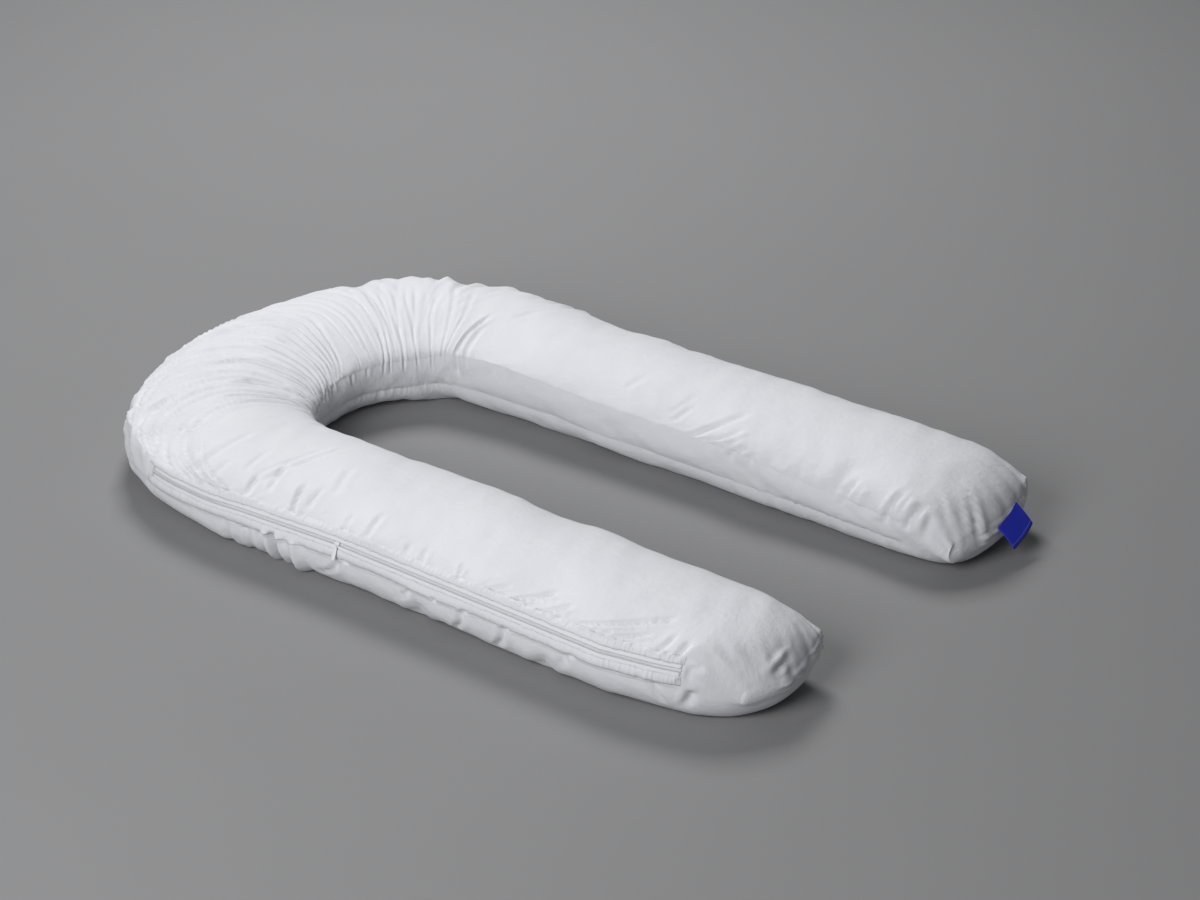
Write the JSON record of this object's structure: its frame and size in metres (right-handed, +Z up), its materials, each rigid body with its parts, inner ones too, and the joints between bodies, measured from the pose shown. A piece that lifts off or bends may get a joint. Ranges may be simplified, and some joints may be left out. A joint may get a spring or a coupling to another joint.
{
  "type": "body pillow",
  "caption": "U-shaped full body pillow in a white zipped cotton cover, gathered round the bend, lying flat with its two arms side by side.",
  "frame": {"origin": "middle of the footprint, on the surface it rests on", "axes": "+X from the bend towards the open ends of the arms, +Y from the arm with the zip towards the arm with the label, +Z up"},
  "size_m": [1.5344, 0.9404, 0.1453],
  "materials": {
    "cover_cotton": "matte white plain-weave cotton, smooth and lightly creased",
    "zip_tape": "matte white woven zip tape",
    "zip_coil": "white nylon coil, satin",
    "label_weave": "royal blue woven label, bare"
  },
  "bodies": {
    "root": {"pillow": "cover_cotton", "zip_tape_upper": "zip_tape", "zip_tape_lower": "zip_tape", "zip_chain": "zip_coil", "label": "label_weave"}
  },
  "joints": []
}
